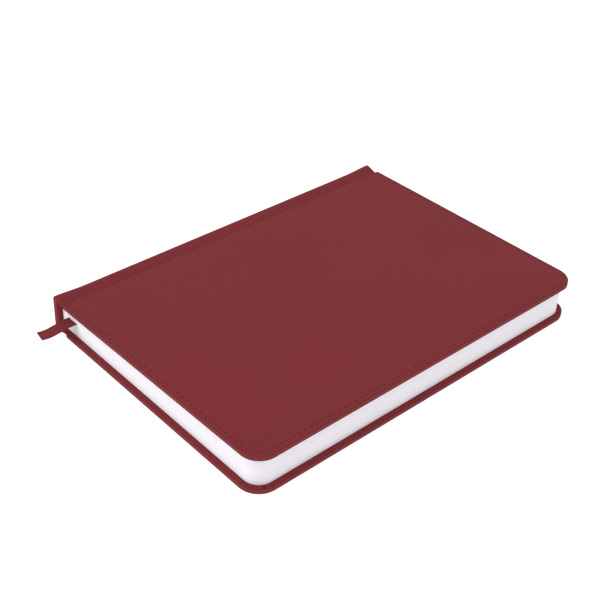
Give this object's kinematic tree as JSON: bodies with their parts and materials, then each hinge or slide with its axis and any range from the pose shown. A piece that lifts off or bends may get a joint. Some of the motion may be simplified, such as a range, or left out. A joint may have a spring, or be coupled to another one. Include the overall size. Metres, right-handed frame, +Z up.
{
  "type": "case-bound notebook",
  "caption": "Case-bound A5 notebook with soft-touch stitched covers, flat hinged spine, sewn page block that opens and turns in sections, and a ribbon marker.",
  "frame": {"origin": "on the face the book rests on, under the middle of the closed case", "axes": "+Z up through the closed book, +X from the spine to the fore-edge, +Y from tail to head"},
  "size_m": [0.151, 0.2256, 0.0217],
  "materials": {
    "cover_skin": "matt soft-touch imitation leather",
    "board": "grey board",
    "thread": "polyester thread",
    "endpaper": "smooth uncoated paper",
    "paper": "uncoated paper",
    "lining_cloth": "open weave cotton",
    "ribbon": "satin"
  },
  "bodies": {
    "back_half": {"back_cover_board": "board", "back_cover_skin": "cover_skin", "back_cover_stitching": "thread", "back_pastedown": "endpaper", "back_joint_strip": "cover_skin", "back_flyleaf": "endpaper", "ribbon_held": "ribbon", "rear_spine_lining": "lining_cloth", "signature_01": "paper", "signature_02": "paper", "signature_03": "paper", "signature_04": "paper", "signature_05": "paper", "signature_06": "paper"},
    "spine": {"spine_inlay": "board", "spine_skin": "cover_skin"},
    "front_cover": {"front_cover_board": "board", "front_cover_skin": "cover_skin", "front_cover_stitching": "thread", "front_pastedown": "endpaper", "front_joint_strip": "cover_skin"},
    "front_endleaf": {"front_flyleaf": "endpaper"},
    "leaves_10_11": {"signature_10": "paper", "signature_11": "paper", "front_spine_lining": "lining_cloth"},
    "leaves_09": {"signature_09": "paper"},
    "leaves_08": {"signature_08": "paper"},
    "leaves_07": {"signature_07": "paper"},
    "ribbon_end": {"ribbon_tail": "ribbon"}
  },
  "joints": [
    {"name": "spine_tilt", "type": "hinge", "parent": "back_half", "child": "spine", "pos_m": [-0.0745, 0, 0.001], "axis": [0, -1, 0], "range_deg": [0, 90]},
    {"name": "front_cover_open", "type": "hinge", "parent": "spine", "child": "front_cover", "pos_m": [-0.0745, 0, 0.018], "axis": [0, -1, 0], "range_deg": [0, 89]},
    {"name": "front_endleaf_turn", "type": "hinge", "parent": "back_half", "child": "front_endleaf", "pos_m": [-0.0732, 0, 0.01004], "axis": [0, -1, 0], "range_deg": [0, 179]},
    {"name": "leaves_10_11_turn", "type": "hinge", "parent": "back_half", "child": "leaves_10_11", "pos_m": [-0.0732, 0, 0.01004], "axis": [0, -1, 0], "range_deg": [0, 178.3]},
    {"name": "leaves_09_turn", "type": "hinge", "parent": "back_half", "child": "leaves_09", "pos_m": [-0.0732, 0, 0.01004], "axis": [0, -1, 0], "range_deg": [0, 172]},
    {"name": "leaves_08_turn", "type": "hinge", "parent": "back_half", "child": "leaves_08", "pos_m": [-0.0732, 0, 0.01004], "axis": [0, -1, 0], "range_deg": [0, 140]},
    {"name": "leaves_07_turn", "type": "hinge", "parent": "back_half", "child": "leaves_07", "pos_m": [-0.0732, 0, 0.01004], "axis": [0, -1, 0], "range_deg": [0, 95]},
    {"name": "ribbon_lift", "type": "hinge", "parent": "back_half", "child": "ribbon_end", "pos_m": [-0.0641, -0.1026, 0.00994], "axis": [-1, 0, 0], "range_deg": [-14, 45]}
  ],
  "couplings": [
    {"joint": "spine_tilt", "follows": "front_cover_open", "ratio": 1.0112},
    {"joint": "front_endleaf_turn", "follows": "front_cover_open", "ratio": 2.0112},
    {"joint": "leaves_10_11_turn", "follows": "front_cover_open", "ratio": 2.0034},
    {"joint": "leaves_09_turn", "follows": "front_cover_open", "ratio": 1.9326},
    {"joint": "leaves_08_turn", "follows": "front_cover_open", "ratio": 1.573},
    {"joint": "leaves_07_turn", "follows": "front_cover_open", "ratio": 1.0674}
  ]
}
